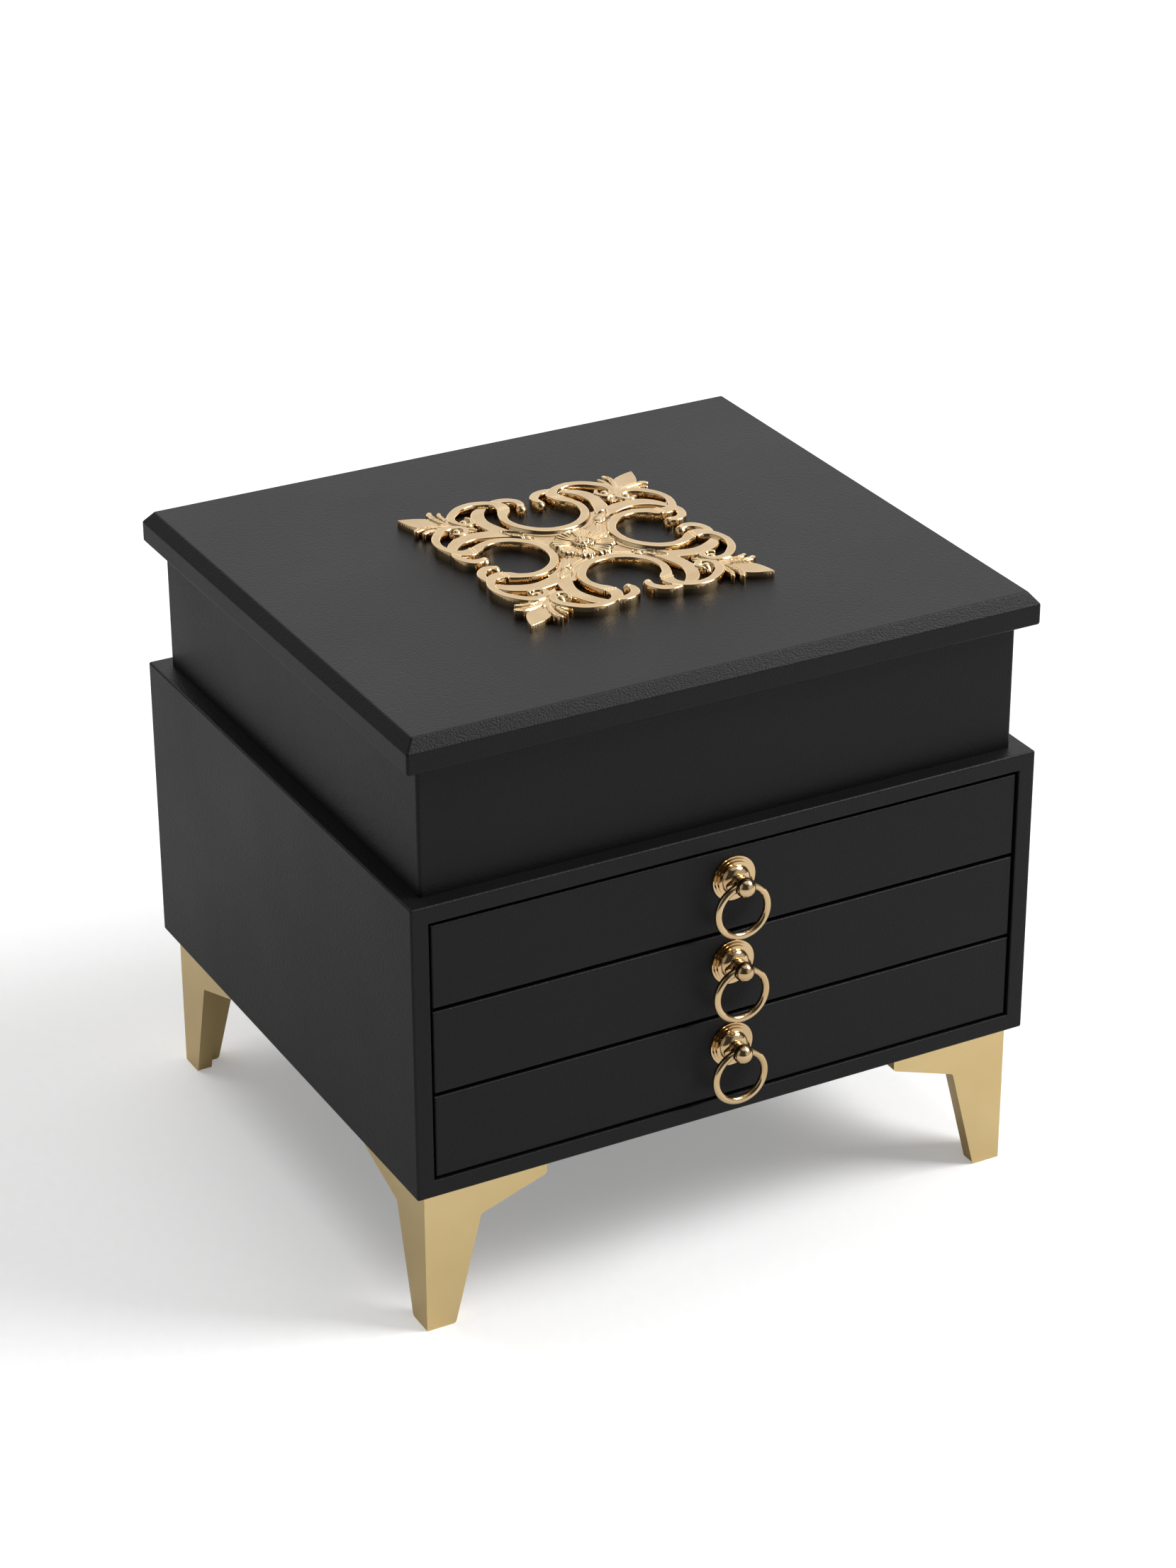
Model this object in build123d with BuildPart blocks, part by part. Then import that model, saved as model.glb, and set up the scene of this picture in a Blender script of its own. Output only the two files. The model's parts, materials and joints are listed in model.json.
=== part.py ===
from build123d import *
import math
import os

# A box for prayer beads: a black covered cabinet with three drawers stands on four gold legs, and a
# narrower compartment on top of it closes with a bevelled lid that carries a cast gold ornament.
# Millimetres, Z up, the front faces -Y. The origin is on the floor under the middle of the whole
# object, pulls included.

# Cabinet: four mitred boards round the drawers, and a back board between them
cabinet_width = 300.0
cabinet_depth = 268.0
cabinet_height = 137.5
cabinet_board = 8.0
back_board = 5.0
outer_round = 1.0
opening_round = 0.6

# Shelves that carry the upper drawers, let into grooves in the sides
shelf_board = 3.0
shelf_groove = 2.0

# Drawers, counted from the top. A drawer's box reaches a little below its front, but less than the
# gap between two fronts, so it slides out clear of the front below it.
drawer_count = 3
drawer_gap = 1.6
drawer_drop = 1.1
drawer_end_gap = 1.2
drawer_recess = 0.7
front_board = 8.0
front_round = 0.9
drawer_side_board = 5.0
drawer_bottom_board = 3.0
drawer_side_gap = 0.8
drawer_top_gap = 1.2
drawer_rear_gap = 2.0

# Velvet in the drawers: a floor and dividers between the strings of beads
floor_velvet = 2.0
velvet_gap = 0.4
channel_count = 5
divider_width = 4.0
divider_height = 20.0
divider_end_gap = 3.0

# Pull: a stepped rosette with a bell, a collar, a post and a ball, turned in one piece
stem_lift = 5.3
rosette_radius = 10.2
rosette_steps = 3
rosette_step = 1.0
rosette_rise = 0.8
bell_radius = 6.8
bell_bulge = 0.5
collar_length = 0.9
collar_bulge = 0.4
post_radius = 3.2
post_shoulder = 0.4
ball_radius = 4.4

# Ring that hangs through the post
ring_outer_radius = 13.5
ring_wire_radius = 1.65
ring_hole_gap = 0.25
ring_distance = 8.2

# Screw behind each pull
pull_screw_radius = 1.5
pull_screw_bite = 5.5
pull_screw_head_radius = 3.0
pull_screw_head = 1.8

# Neck: the walls of the upper compartment, stepped in from the cabinet
neck_inset = 8.0
neck_height = 59.5
neck_board = 9.0
neck_round = 1.5
wall_lining = 1.5
lining_drop = 2.0
compartment_pad = 4.0

# Lid
lid_overhang = 7.5
lid_edge = 9.4
lid_bevel_rise = 5.4
lid_bevel_run = 4.3
lid_round = 1.2
lid_pad = 4.0
lid_pad_gap = 1.5

# Two butt hinges at the back of the neck
hinge_length = 38.0
hinge_end_distance = 57.0
hinge_leaf = 1.0
hinge_leaf_margin = 1.0
hinge_barrel_radius = 2.2
hinge_pin_radius = 1.0
hinge_pin_gap = 0.05
hinge_knuckle_gap = 0.3
hinge_wall_gap = 0.4
hinge_screw_radius = 0.9
hinge_screw_head_radius = 1.8
hinge_screw_length = 8.0
hinge_screw_spread = 24.0

# Legs: two tapered wings at right angles, with a screw flange between them
leg_height = 69.5
leg_inset = 5.4
leg_wall = 7.0
leg_foot = 13.6
leg_crook_reach = 26.6
leg_crook_drop = 18.5
leg_wing_reach = 58.0
leg_wing_drop = 7.9
leg_round = 1.8
leg_edge_round = 0.8
flange_thickness = 3.0
flange_reach = 44.0
flange_lip = 12.0
leg_screw_radius = 1.75
leg_screw_head_radius = 3.3
leg_screw_head = 1.8
leg_screw_bite = 6.0
leg_screw_margin = 6.0

# Ornament on the lid: its size, its steps in height, and its rosette
ornament_width = 116.6
ornament_depth = 126.0
ornament_offset = 2.2
ornament_plate = 3.2
ornament_height = 4.4
rosette_height = 5.2
petal_count = 12
petal_radius = 3.2
petal_ring = 11.6
button_height = 6.4
button_radius = 3.4

# Its outline is set out on a square of this half width, then fitted to the size above
square_half = 60.0
eye_centre = 37.0
eye_radius = 17.0
rim_width = 3.7
arch_centre = (24.2, 46.2)
arch_radius = 12.1
arch_width = 4.4
comma_width = 3.2
volute_width = 3.0
leaf_half = 5.0
leaf_middle = 51.5
plate_half = 27.0
bead_spots = {(12.8, 46.6): 2.7, (3.6, 45.0): 2.3, (35.6, 44.2): 2.5}

# Heights
cabinet_bottom = leg_height
cabinet_top = cabinet_bottom + cabinet_height
opening_bottom = cabinet_bottom + cabinet_board
opening_height = cabinet_height - 2 * cabinet_board
opening_width = cabinet_width - 2 * cabinet_board
neck_top = cabinet_top + neck_height
lid_bottom = neck_top
lid_top = lid_bottom + lid_edge + lid_bevel_rise

# Pull, from the drawer's face outwards
ring_radius = ring_outer_radius - ring_wire_radius
ring_hole_radius = ring_wire_radius + ring_hole_gap
rosette_thickness = rosette_steps * rosette_rise
collar_end = ring_distance - ring_hole_radius - post_shoulder
collar_start = collar_end - collar_length
ball_distance = ring_distance + ring_hole_radius
pull_reach = ball_distance + ball_radius - drawer_recess

# Depths: the pulls reach out in front, so the cabinet's middle lies behind the origin
cabinet_centre = pull_reach / 2
cabinet_front = cabinet_centre - cabinet_depth / 2
cabinet_back = cabinet_centre + cabinet_depth / 2
back_board_front = cabinet_back - back_board
drawer_face = cabinet_front + drawer_recess
drawer_front_back = drawer_face + front_board

# Drawers
front_width = opening_width - 2 * drawer_end_gap
front_height = (opening_height - drawer_count * drawer_gap - drawer_drop) / drawer_count
drawer_pitch = front_height + drawer_gap
side_height = drawer_pitch - shelf_board - drawer_top_gap
drawer_outer = opening_width / 2 - drawer_side_gap
drawer_inner = drawer_outer - drawer_side_board
drawer_back = back_board_front - drawer_rear_gap

# Neck and lid
neck_width = cabinet_width - 2 * neck_inset
neck_depth = cabinet_depth - 2 * neck_inset
neck_front = cabinet_centre - neck_depth / 2
neck_back = cabinet_centre + neck_depth / 2
inner_width = neck_width - 2 * neck_board
inner_depth = neck_depth - 2 * neck_board
lid_width = neck_width + 2 * lid_overhang
lid_depth = neck_depth + 2 * lid_overhang

# Hinges
hinge_y = neck_back + hinge_wall_gap + hinge_barrel_radius
hinge_z = lid_bottom
leaf_inner = neck_back - neck_board + hinge_leaf_margin
leaf_outer = hinge_y - hinge_barrel_radius - hinge_pin_gap
knuckle_length = (hinge_length - 2 * hinge_knuckle_gap) / 3
hinge_offset = neck_width / 2 - hinge_end_distance
hinge_places = {"left": -hinge_offset, "right": hinge_offset}
hinge_screw_y = (leaf_inner + neck_back) / 2

os.makedirs("parts", exist_ok=True)


def save(piece, name):
    """Labels a finished piece and writes it."""
    piece.part.label = name
    export_step(piece.part, f"parts/{name}.step")


def slab(low, high, mode=Mode.ADD):
    """A block between two corners, for the part being built."""
    with BuildSketch(Plane.XY.offset(low[2])) as outline:
        with Locations(((low[0] + high[0]) / 2, (low[1] + high[1]) / 2)):
            Rectangle(high[0] - low[0], high[1] - low[1])
    extrude(outline.sketch, amount=high[2] - low[2], mode=mode)


def rod(start, axis, radius, length, mode=Mode.ADD):
    """A round bar from a point along an axis, for the part being built."""
    with BuildSketch(Plane(origin=start, z_dir=axis)) as outline:
        Circle(radius)
    extrude(outline.sketch, amount=length, mode=mode)


# Each leg's two screws, measured along and across its wings from its outer corner
leg_screw_spots = (
    (flange_reach - leg_screw_margin, leg_wall + leg_screw_margin),
    (leg_wall + leg_screw_margin, flange_reach - leg_screw_margin),
)


def leg_screw_places():
    """Every leg screw's place in plan."""
    for side in (-1, 1):
        for end in (-1, 1):
            for along, across in leg_screw_spots:
                yield (
                    side * (cabinet_width / 2 - leg_inset - along),
                    cabinet_centre + end * (cabinet_depth / 2 - leg_inset - across),
                )


# Cabinet carcass, then its four boards cut apart along the mitres
with BuildPart() as carcass:
    slab(
        (-cabinet_width / 2, cabinet_front, cabinet_bottom),
        (cabinet_width / 2, cabinet_back, cabinet_top),
    )
    fillet(carcass.edges(), outer_round)
    slab(
        (-opening_width / 2, cabinet_front, opening_bottom),
        (opening_width / 2, cabinet_back, opening_bottom + opening_height),
        Mode.SUBTRACT,
    )
    front_frame = carcass.faces().filter_by(Axis.Y).sort_by(Axis.Y)[0]
    fillet(front_frame.inner_wires()[0].edges(), opening_round)
    for number in range(1, drawer_count):
        shelf_top = opening_bottom + number * drawer_pitch
        groove_half = opening_width / 2 + shelf_groove
        slab(
            (-groove_half, drawer_front_back, shelf_top - shelf_board),
            (groove_half, back_board_front, shelf_top),
            Mode.SUBTRACT,
        )
    for x, y in leg_screw_places():
        rod((x, y, cabinet_bottom), (0, 0, 1), leg_screw_radius, leg_screw_bite, Mode.SUBTRACT)

top_left = Plane((-cabinet_width / 2, 0, cabinet_top), z_dir=(1, 0, 1))
top_right = Plane((cabinet_width / 2, 0, cabinet_top), z_dir=(-1, 0, 1))
bottom_left = Plane((-cabinet_width / 2, 0, cabinet_bottom), z_dir=(1, 0, -1))
bottom_right = Plane((cabinet_width / 2, 0, cabinet_bottom), z_dir=(-1, 0, -1))
middle_height = Plane.XY.offset(cabinet_bottom + cabinet_height / 2)

with BuildPart() as cabinet_left_side:
    add(carcass.part)
    split(bisect_by=top_left, keep=Keep.BOTTOM)
    split(bisect_by=bottom_left, keep=Keep.BOTTOM)
save(cabinet_left_side, "cabinet_left_side")

with BuildPart() as cabinet_right_side:
    mirror(cabinet_left_side.part, about=Plane.YZ)
save(cabinet_right_side, "cabinet_right_side")

with BuildPart() as cabinet_top_board:
    add(carcass.part)
    split(bisect_by=middle_height, keep=Keep.TOP)
    split(bisect_by=top_left, keep=Keep.TOP)
    split(bisect_by=top_right, keep=Keep.TOP)
save(cabinet_top_board, "cabinet_top_board")

with BuildPart() as cabinet_bottom_board:
    add(carcass.part)
    split(bisect_by=middle_height, keep=Keep.BOTTOM)
    split(bisect_by=bottom_left, keep=Keep.TOP)
    split(bisect_by=bottom_right, keep=Keep.TOP)
save(cabinet_bottom_board, "cabinet_bottom_board")

with BuildPart() as cabinet_back_board:
    slab(
        (-opening_width / 2, back_board_front, opening_bottom),
        (opening_width / 2, cabinet_back, opening_bottom + opening_height),
    )
save(cabinet_back_board, "cabinet_back_board")

for number in range(1, drawer_count):
    shelf_top = opening_bottom + (drawer_count - number) * drawer_pitch
    shelf_half = opening_width / 2 + shelf_groove
    with BuildPart() as shelf:
        slab(
            (-shelf_half, drawer_front_back, shelf_top - shelf_board),
            (shelf_half, back_board_front, shelf_top),
        )
    save(shelf, f"drawer_shelf_{number}")

# Neck walls, cut apart along upright mitres
with BuildPart() as neck:
    slab(
        (-neck_width / 2, neck_front, cabinet_top),
        (neck_width / 2, neck_back, neck_top),
    )
    fillet(neck.edges().filter_by(Axis.Z), neck_round)
    slab(
        (-inner_width / 2, cabinet_centre - inner_depth / 2, cabinet_top),
        (inner_width / 2, cabinet_centre + inner_depth / 2, neck_top),
        Mode.SUBTRACT,
    )

front_left = Plane((-neck_width / 2, neck_front, 0), z_dir=(1, -1, 0))
front_right = Plane((neck_width / 2, neck_front, 0), z_dir=(-1, -1, 0))
back_left = Plane((-neck_width / 2, neck_back, 0), z_dir=(1, 1, 0))
back_right = Plane((neck_width / 2, neck_back, 0), z_dir=(-1, 1, 0))
middle_depth = Plane((0, cabinet_centre, 0), z_dir=(0, 1, 0))


def hinge_screw(x, upwards, mode=Mode.ADD):
    """A countersunk screw with its head level with the lid joint, going down or up from it."""
    flip = 180 if upwards else 0
    with Locations(Location((x, hinge_screw_y, hinge_z), (flip, 0, 0))):
        Cone(
            hinge_screw_radius,
            hinge_screw_head_radius,
            hinge_screw_head_radius - hinge_screw_radius,
            align=(Align.CENTER, Align.CENTER, Align.MAX),
            mode=mode,
        )
        Cylinder(
            hinge_screw_radius,
            hinge_screw_length,
            align=(Align.CENTER, Align.CENTER, Align.MAX),
            mode=mode,
        )


def hinge_screws(upwards, mode=Mode.ADD):
    """The screws of both hinges on one side of the lid joint."""
    for hinge_x in hinge_places.values():
        for side in (-1, 1):
            hinge_screw(hinge_x + side * hinge_screw_spread / 2, upwards, mode)


with BuildPart() as neck_front_board:
    add(neck.part)
    split(bisect_by=middle_depth, keep=Keep.BOTTOM)
    split(bisect_by=front_left, keep=Keep.TOP)
    split(bisect_by=front_right, keep=Keep.TOP)
save(neck_front_board, "neck_front")

with BuildPart() as neck_back_board:
    add(neck.part)
    split(bisect_by=middle_depth, keep=Keep.TOP)
    split(bisect_by=back_left, keep=Keep.TOP)
    split(bisect_by=back_right, keep=Keep.TOP)
    for hinge_x in hinge_places.values():
        slab(
            (hinge_x - hinge_length / 2, leaf_inner, neck_top - hinge_leaf),
            (hinge_x + hinge_length / 2, neck_back, neck_top),
            Mode.SUBTRACT,
        )
    hinge_screws(upwards=False, mode=Mode.SUBTRACT)
save(neck_back_board, "neck_back")

with BuildPart() as neck_left_board:
    add(neck.part)
    split(bisect_by=front_left, keep=Keep.BOTTOM)
    split(bisect_by=back_left, keep=Keep.BOTTOM)
save(neck_left_board, "neck_left")

with BuildPart() as neck_right_board:
    mirror(neck_left_board.part, about=Plane.YZ)
save(neck_right_board, "neck_right")

# Velvet in the upper compartment
lined_half_width = inner_width / 2 - wall_lining
lined_half_depth = inner_depth / 2 - wall_lining
lining_top = neck_top - lining_drop
with BuildPart() as compartment_linings:
    for end in (-1, 1):
        face = cabinet_centre + end * inner_depth / 2
        near, far = sorted((face, face - end * wall_lining))
        slab((-inner_width / 2, near, cabinet_top), (inner_width / 2, far, lining_top))
    for side in (-1, 1):
        near, far = sorted((side * inner_width / 2, side * lined_half_width))
        slab(
            (near, cabinet_centre - lined_half_depth + velvet_gap, cabinet_top),
            (far, cabinet_centre + lined_half_depth - velvet_gap, lining_top),
        )
save(compartment_linings, "compartment_linings")

with BuildPart() as compartment_floor:
    slab(
        (
            -lined_half_width + velvet_gap,
            cabinet_centre - lined_half_depth + velvet_gap,
            cabinet_top,
        ),
        (
            lined_half_width - velvet_gap,
            cabinet_centre + lined_half_depth - velvet_gap,
            cabinet_top + compartment_pad,
        ),
    )
save(compartment_floor, "compartment_floor")

# Lid board, with room for the hinges
with BuildPart() as lid_board:
    with BuildSketch(Plane.XY.offset(lid_bottom)):
        with Locations((0, cabinet_centre)):
            Rectangle(lid_width, lid_depth)
    extrude(amount=lid_edge)
    with BuildSketch(Plane.XY.offset(lid_bottom + lid_edge)):
        with Locations((0, cabinet_centre)):
            Rectangle(lid_width, lid_depth)
    extrude(amount=lid_bevel_rise, taper=math.degrees(math.atan(lid_bevel_run / lid_bevel_rise)))
    fillet(lid_board.edges(), lid_round)
    for hinge_x in hinge_places.values():
        half = hinge_length / 2
        rod(
            (hinge_x - half - hinge_knuckle_gap, hinge_y, hinge_z),
            (1, 0, 0),
            hinge_barrel_radius + hinge_knuckle_gap,
            hinge_length + 2 * hinge_knuckle_gap,
            Mode.SUBTRACT,
        )
        slab(
            (hinge_x - half, leaf_inner, lid_bottom),
            (hinge_x + half, hinge_y, lid_bottom + hinge_leaf),
            Mode.SUBTRACT,
        )
    hinge_screws(upwards=True, mode=Mode.SUBTRACT)
save(lid_board, "lid_board")

with BuildPart() as lid_velvet:
    pad_half_width = lined_half_width - lid_pad_gap
    pad_half_depth = lined_half_depth - lid_pad_gap
    slab(
        (-pad_half_width, cabinet_centre - pad_half_depth, lid_bottom - lid_pad),
        (pad_half_width, cabinet_centre + pad_half_depth, lid_bottom),
    )
save(lid_velvet, "lid_velvet_pad")

# Hinges
for place, hinge_x in hinge_places.items():
    outer_knuckles = (
        hinge_x - hinge_length / 2,
        hinge_x + hinge_length / 2 - knuckle_length,
    )
    inner_knuckle = (hinge_x - knuckle_length / 2,)
    for leaf_name, starts, low, bore in (
        ("body_leaf", outer_knuckles, -hinge_leaf, hinge_pin_radius),
        ("lid_leaf", inner_knuckle, 0, hinge_pin_radius + hinge_pin_gap),
    ):
        with BuildPart() as leaf:
            slab(
                (hinge_x - hinge_length / 2, leaf_inner, hinge_z + low),
                (hinge_x + hinge_length / 2, leaf_outer, hinge_z + low + hinge_leaf),
            )
            for start in starts:
                slab(
                    (start, leaf_outer, hinge_z + low),
                    (start + knuckle_length, hinge_y, hinge_z + low + hinge_leaf),
                )
                rod((start, hinge_y, hinge_z), (1, 0, 0), hinge_barrel_radius, knuckle_length)
            for start in starts:
                rod((start, hinge_y, hinge_z), (1, 0, 0), bore, knuckle_length, Mode.SUBTRACT)
            hinge_screws(upwards=low == 0, mode=Mode.SUBTRACT)
        save(leaf, f"hinge_{place}_{leaf_name}")
    with BuildPart() as pin:
        rod(
            (hinge_x - hinge_length / 2, hinge_y, hinge_z),
            (1, 0, 0),
            hinge_pin_radius,
            hinge_length,
        )
    save(pin, f"hinge_{place}_pin")

for screws_name, upwards in (("hinge_body_screws", False), ("hinge_lid_screws", True)):
    with BuildPart() as screws:
        hinge_screws(upwards)
    save(screws, screws_name)


# Drawers
def pull_outline():
    """Half the pull's turned profile: x is the distance from the face, y the radius."""
    points = [(0, 0)]
    for step in range(rosette_steps):
        radius = rosette_radius - step * rosette_step
        points += [(step * rosette_rise, radius), ((step + 1) * rosette_rise, radius)]
    points.append((rosette_thickness, bell_radius))
    bell_middle = (rosette_thickness + collar_start) / 2
    bell_mean = (bell_radius + post_radius) / 2
    ball_joint = ball_distance - math.sqrt(ball_radius**2 - post_radius**2)
    Polyline(points)
    ThreePointArc(
        points[-1],
        (bell_middle + bell_bulge, bell_mean + bell_bulge),
        (collar_start, post_radius),
    )
    ThreePointArc(
        (collar_start, post_radius),
        ((collar_start + collar_end) / 2, post_radius + collar_bulge),
        (collar_end, post_radius),
    )
    Line((collar_end, post_radius), (ball_joint, post_radius))
    ThreePointArc(
        (ball_joint, post_radius),
        (ball_distance, ball_radius),
        (ball_distance + ball_radius, 0),
    )
    Line((ball_distance + ball_radius, 0), (0, 0))


def ring_hole_outline():
    """Half the flared hole through the post: x is along the hole, y its radius."""
    half = ball_radius + ring_hole_gap
    flare = ring_hole_radius + ring_radius - math.sqrt(ring_radius**2 - half**2)
    Polyline((-half, flare), (-half, 0), (half, 0), (half, flare))
    ThreePointArc((half, flare), (0, ring_hole_radius), (-half, flare))


for number in range(1, drawer_count + 1):
    name = f"drawer_{number}"
    box_bottom = opening_bottom + (drawer_count - number) * drawer_pitch
    front_bottom = box_bottom + drawer_drop
    floor_top = box_bottom + drawer_bottom_board
    velvet_top = floor_top + floor_velvet
    stem_z = front_bottom + front_height / 2 + stem_lift
    ring_y = drawer_face - ring_distance
    stem_axis = Axis((0, drawer_face, stem_z), (0, -1, 0))
    stem_plane = Plane((0, drawer_face, stem_z), x_dir=(0, -1, 0), z_dir=(1, 0, 0))

    with BuildPart() as front:
        slab(
            (-front_width / 2, drawer_face, front_bottom),
            (front_width / 2, drawer_front_back, front_bottom + front_height),
        )
        fillet(front.faces().sort_by(Axis.Y)[0].edges(), front_round)
        rod(
            (0, drawer_front_back, stem_z),
            (0, -1, 0),
            pull_screw_radius,
            front_board,
            Mode.SUBTRACT,
        )
    save(front, f"{name}_front")

    with BuildPart() as left_side:
        slab(
            (-drawer_outer, drawer_front_back, box_bottom),
            (-drawer_inner, drawer_back, box_bottom + side_height),
        )
    save(left_side, f"{name}_left_side")

    with BuildPart() as right_side:
        mirror(left_side.part, about=Plane.YZ)
    save(right_side, f"{name}_right_side")

    with BuildPart() as back:
        slab(
            (-drawer_inner, drawer_back - drawer_side_board, box_bottom),
            (drawer_inner, drawer_back, box_bottom + side_height),
        )
    save(back, f"{name}_back")

    with BuildPart() as bottom:
        slab(
            (-drawer_inner, drawer_front_back, box_bottom),
            (drawer_inner, drawer_back - drawer_side_board, floor_top),
        )
    save(bottom, f"{name}_bottom")

    with BuildPart() as velvet:
        slab(
            (-drawer_inner + velvet_gap, drawer_front_back + velvet_gap, floor_top),
            (
                drawer_inner - velvet_gap,
                drawer_back - drawer_side_board - velvet_gap,
                velvet_top,
            ),
        )
    save(velvet, f"{name}_velvet_floor")

    with BuildPart() as dividers:
        channel_pitch = (2 * drawer_inner + divider_width) / channel_count
        for place in range(1, channel_count):
            middle = -drawer_inner - divider_width / 2 + place * channel_pitch
            slab(
                (middle - divider_width / 2, drawer_front_back + divider_end_gap, velvet_top),
                (
                    middle + divider_width / 2,
                    drawer_back - drawer_side_board - velvet_gap,
                    velvet_top + divider_height,
                ),
            )
    save(dividers, f"{name}_dividers")

    with BuildPart() as pull:
        with BuildSketch(stem_plane):
            with BuildLine():
                pull_outline()
            make_face()
        revolve(axis=stem_axis)
        with BuildSketch(Plane((0, ring_y, stem_z), x_dir=(1, 0, 0), z_dir=(0, 1, 0))):
            with BuildLine():
                ring_hole_outline()
            make_face()
        revolve(axis=Axis((0, ring_y, stem_z), (1, 0, 0)), mode=Mode.SUBTRACT)
        rod((0, drawer_face, stem_z), (0, -1, 0), pull_screw_radius, pull_screw_bite, Mode.SUBTRACT)
    save(pull, f"{name}_pull")

    with BuildPart() as ring:
        with BuildSketch(Plane((0, ring_y, stem_z - ring_radius), x_dir=(0, 0, 1), z_dir=(1, 0, 0))):
            with Locations((ring_radius, 0)):
                Circle(ring_wire_radius)
        revolve(axis=Axis((0, ring_y, stem_z - ring_radius), (0, 1, 0)))
    save(ring, f"{name}_ring")

    with BuildPart() as pull_screw:
        rod(
            (0, drawer_front_back, stem_z),
            (0, -1, 0),
            pull_screw_radius,
            front_board + pull_screw_bite,
        )
        rod(
            (0, drawer_front_back, stem_z),
            (0, 1, 0),
            pull_screw_head_radius,
            pull_screw_head,
        )
    save(pull_screw, f"{name}_pull_screw")


# Legs
def leg_wing(corner):
    """Outline of one wing: x runs from the leg's corner, y is the height."""
    top = leg_height
    with BuildLine() as outline:
        Polyline(
            (corner, 0),
            (corner + leg_foot, 0),
            (corner + leg_crook_reach, top - leg_crook_drop),
            (corner + leg_wing_reach, top - leg_wing_drop),
            (corner + leg_wing_reach, top),
            (corner, top),
            close=True,
        )
    make_face(outline.line)


leg_x = -cabinet_width / 2 + leg_inset
leg_y = cabinet_front + leg_inset
with BuildPart() as leg_front_left:
    for plane, corner in (
        (Plane.XZ.offset(-(leg_y + leg_wall)), leg_x),
        (Plane.YZ.offset(leg_x), leg_y),
    ):
        with BuildSketch(plane) as wing:
            leg_wing(corner)
            free_corners = [
                point
                for point in wing.vertices()
                if point.X > corner + leg_foot / 2 and point.Y < leg_height - leg_round
            ]
            fillet(free_corners, leg_round)
        extrude(wing.sketch, amount=leg_wall)
    upright_edges = leg_front_left.edges().filter_by(Axis.Z)
    outer_edge = upright_edges.sort_by(lambda edge: edge.center().X + edge.center().Y)[0]
    fillet(outer_edge, leg_edge_round)
    with BuildSketch(Plane.XY.offset(leg_height - flange_thickness)):
        with BuildLine():
            Polyline(
                (leg_x + leg_wall / 2, leg_y + leg_wall / 2),
                (leg_x + flange_reach, leg_y + leg_wall / 2),
                (leg_x + flange_reach, leg_y + leg_wall + flange_lip),
                (leg_x + leg_wall + flange_lip, leg_y + flange_reach),
                (leg_x + leg_wall / 2, leg_y + flange_reach),
                close=True,
            )
        make_face()
    extrude(amount=flange_thickness)
    for along, across in leg_screw_spots:
        rod(
            (leg_x + along, leg_y + across, leg_height - flange_thickness),
            (0, 0, 1),
            leg_screw_radius,
            flange_thickness,
            Mode.SUBTRACT,
        )
save(leg_front_left, "leg_front_left")

with BuildPart() as leg_front_right:
    mirror(leg_front_left.part, about=Plane.YZ)
save(leg_front_right, "leg_front_right")

cabinet_middle = Plane((0, cabinet_centre, 0), z_dir=(0, 1, 0))
with BuildPart() as leg_back_left:
    mirror(leg_front_left.part, about=cabinet_middle)
save(leg_back_left, "leg_back_left")

with BuildPart() as leg_back_right:
    mirror(leg_front_right.part, about=cabinet_middle)
save(leg_back_right, "leg_back_right")

with BuildPart() as leg_screws:
    for x, y in leg_screw_places():
        rod(
            (x, y, leg_height - flange_thickness),
            (0, 0, 1),
            leg_screw_radius,
            flange_thickness + leg_screw_bite,
        )
        rod(
            (x, y, leg_height - flange_thickness - leg_screw_head),
            (0, 0, 1),
            leg_screw_head_radius,
            leg_screw_head,
        )
save(leg_screws, "leg_screws")


# Ornament: one quarter is drawn, each of its scrolls once on either side of the diagonal, and
# mirrored twice. Points are (u, v) on the square that the ornament is set out on.
def fitted(u, v, swapped=False):
    """A point of the square as a place on the ornament."""
    x, y = (v, u) if swapped else (u, v)
    return (x * ornament_width / 2 / square_half, y * ornament_depth / 2 / square_half)


def band(points, width, swapped):
    """A scroll of even width with round ends through three points."""
    start, middle, end = [fitted(u, v, swapped) for u, v in points]
    with BuildLine() as path:
        ThreePointArc(start, middle, end)
    trace(path.line, line_width=width)
    with Locations(start, end):
        Circle(width / 2)


def blade(base, side, tip, other, swapped):
    """A pointed leaf between two arcs."""
    base, side, tip, other = [fitted(u, v, swapped) for u, v in (base, side, tip, other)]
    with BuildLine() as outline:
        ThreePointArc(base, side, tip)
        ThreePointArc(tip, other, base)
    make_face(outline.line)


def around(centre, radius, degrees):
    """A point on a circle of the square."""
    angle = math.radians(degrees)
    return (centre[0] + radius * math.cos(angle), centre[1] + radius * math.sin(angle))


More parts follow.
